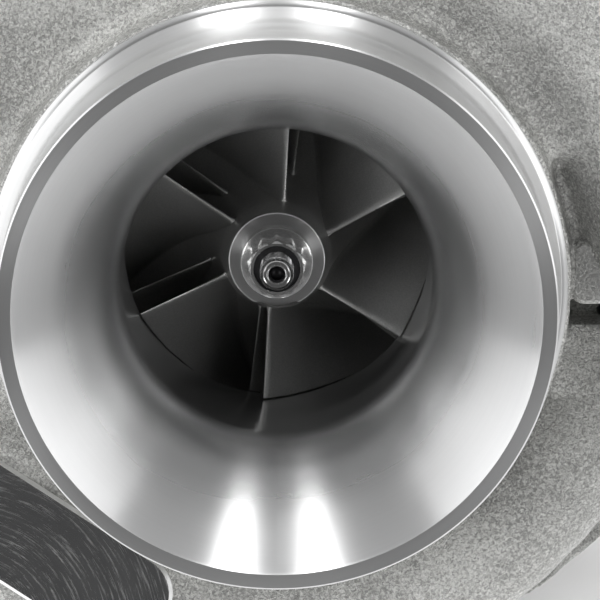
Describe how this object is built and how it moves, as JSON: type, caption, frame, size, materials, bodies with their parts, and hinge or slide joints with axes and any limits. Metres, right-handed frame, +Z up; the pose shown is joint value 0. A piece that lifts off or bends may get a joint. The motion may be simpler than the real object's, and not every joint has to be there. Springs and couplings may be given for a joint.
{
  "type": "turbocharger",
  "caption": "Journal-bearing turbocharger with an aluminium compressor housing, machined bellmouth inlet, iron centre and turbine housings, and a spinning shaft with bladed wheels.",
  "frame": {"origin": "on the shaft's axis, in the plane of the compressor inlet's rim", "axes": "+Y along the shaft from the compressor inlet towards the turbine outlet, +Z up, +X to the right seen from the inlet"},
  "size_m": [0.2581, 0.242, 0.1943],
  "materials": {
    "cast_aluminium": "sand cast, with turned inlet",
    "wheel_aluminium": "cast, matt dark",
    "plate_aluminium": "turned",
    "iron": "sand cast",
    "turbine_alloy": "fine cast nickel alloy",
    "ground_steel": "ground",
    "zinc_steel": "plated",
    "dark_steel": "blackened",
    "bronze": "machined bronze",
    "black_rubber": "smooth"
  },
  "bodies": {
    "casing": {"compressor_housing": "cast_aluminium", "compressor_clamp_plates": "zinc_steel", "compressor_clamp_bolts": "zinc_steel", "backplate": "plate_aluminium", "backplate_o_ring": "black_rubber", "backplate_screws": "dark_steel", "front_seal_ring": "dark_steel", "oil_deflector": "ground_steel", "thrust_bearing": "bronze", "thrust_spacer": "ground_steel", "bearing_housing": "iron", "locating_pins": "ground_steel", "journal_snap_rings": "dark_steel", "rear_seal_ring": "dark_steel", "heat_shield": "ground_steel", "turbine_housing": "iron", "turbine_clamp_plates": "dark_steel", "turbine_clamp_bolts": "dark_steel"},
    "rotor": {"shaft": "ground_steel", "compressor_wheel": "wheel_aluminium", "compressor_nut": "ground_steel", "oil_flinger": "ground_steel", "thrust_washer": "ground_steel", "thrust_collar": "ground_steel", "turbine_wheel": "turbine_alloy"},
    "front_bush": {"front_journal_bearing": "bronze"},
    "rear_bush": {"rear_journal_bearing": "bronze"}
  },
  "joints": [
    {"name": "rotor_spin", "type": "hinge", "parent": "casing", "child": "rotor", "pos_m": [0, 0.13, 0], "axis": [0, 1, 0], "continuous": true},
    {"name": "front_bush_float", "type": "hinge", "parent": "casing", "child": "front_bush", "pos_m": [0, 0.117, 0], "axis": [0, 1, 0], "continuous": true},
    {"name": "rear_bush_float", "type": "hinge", "parent": "casing", "child": "rear_bush", "pos_m": [0, 0.148, 0], "axis": [0, 1, 0], "continuous": true}
  ]
}
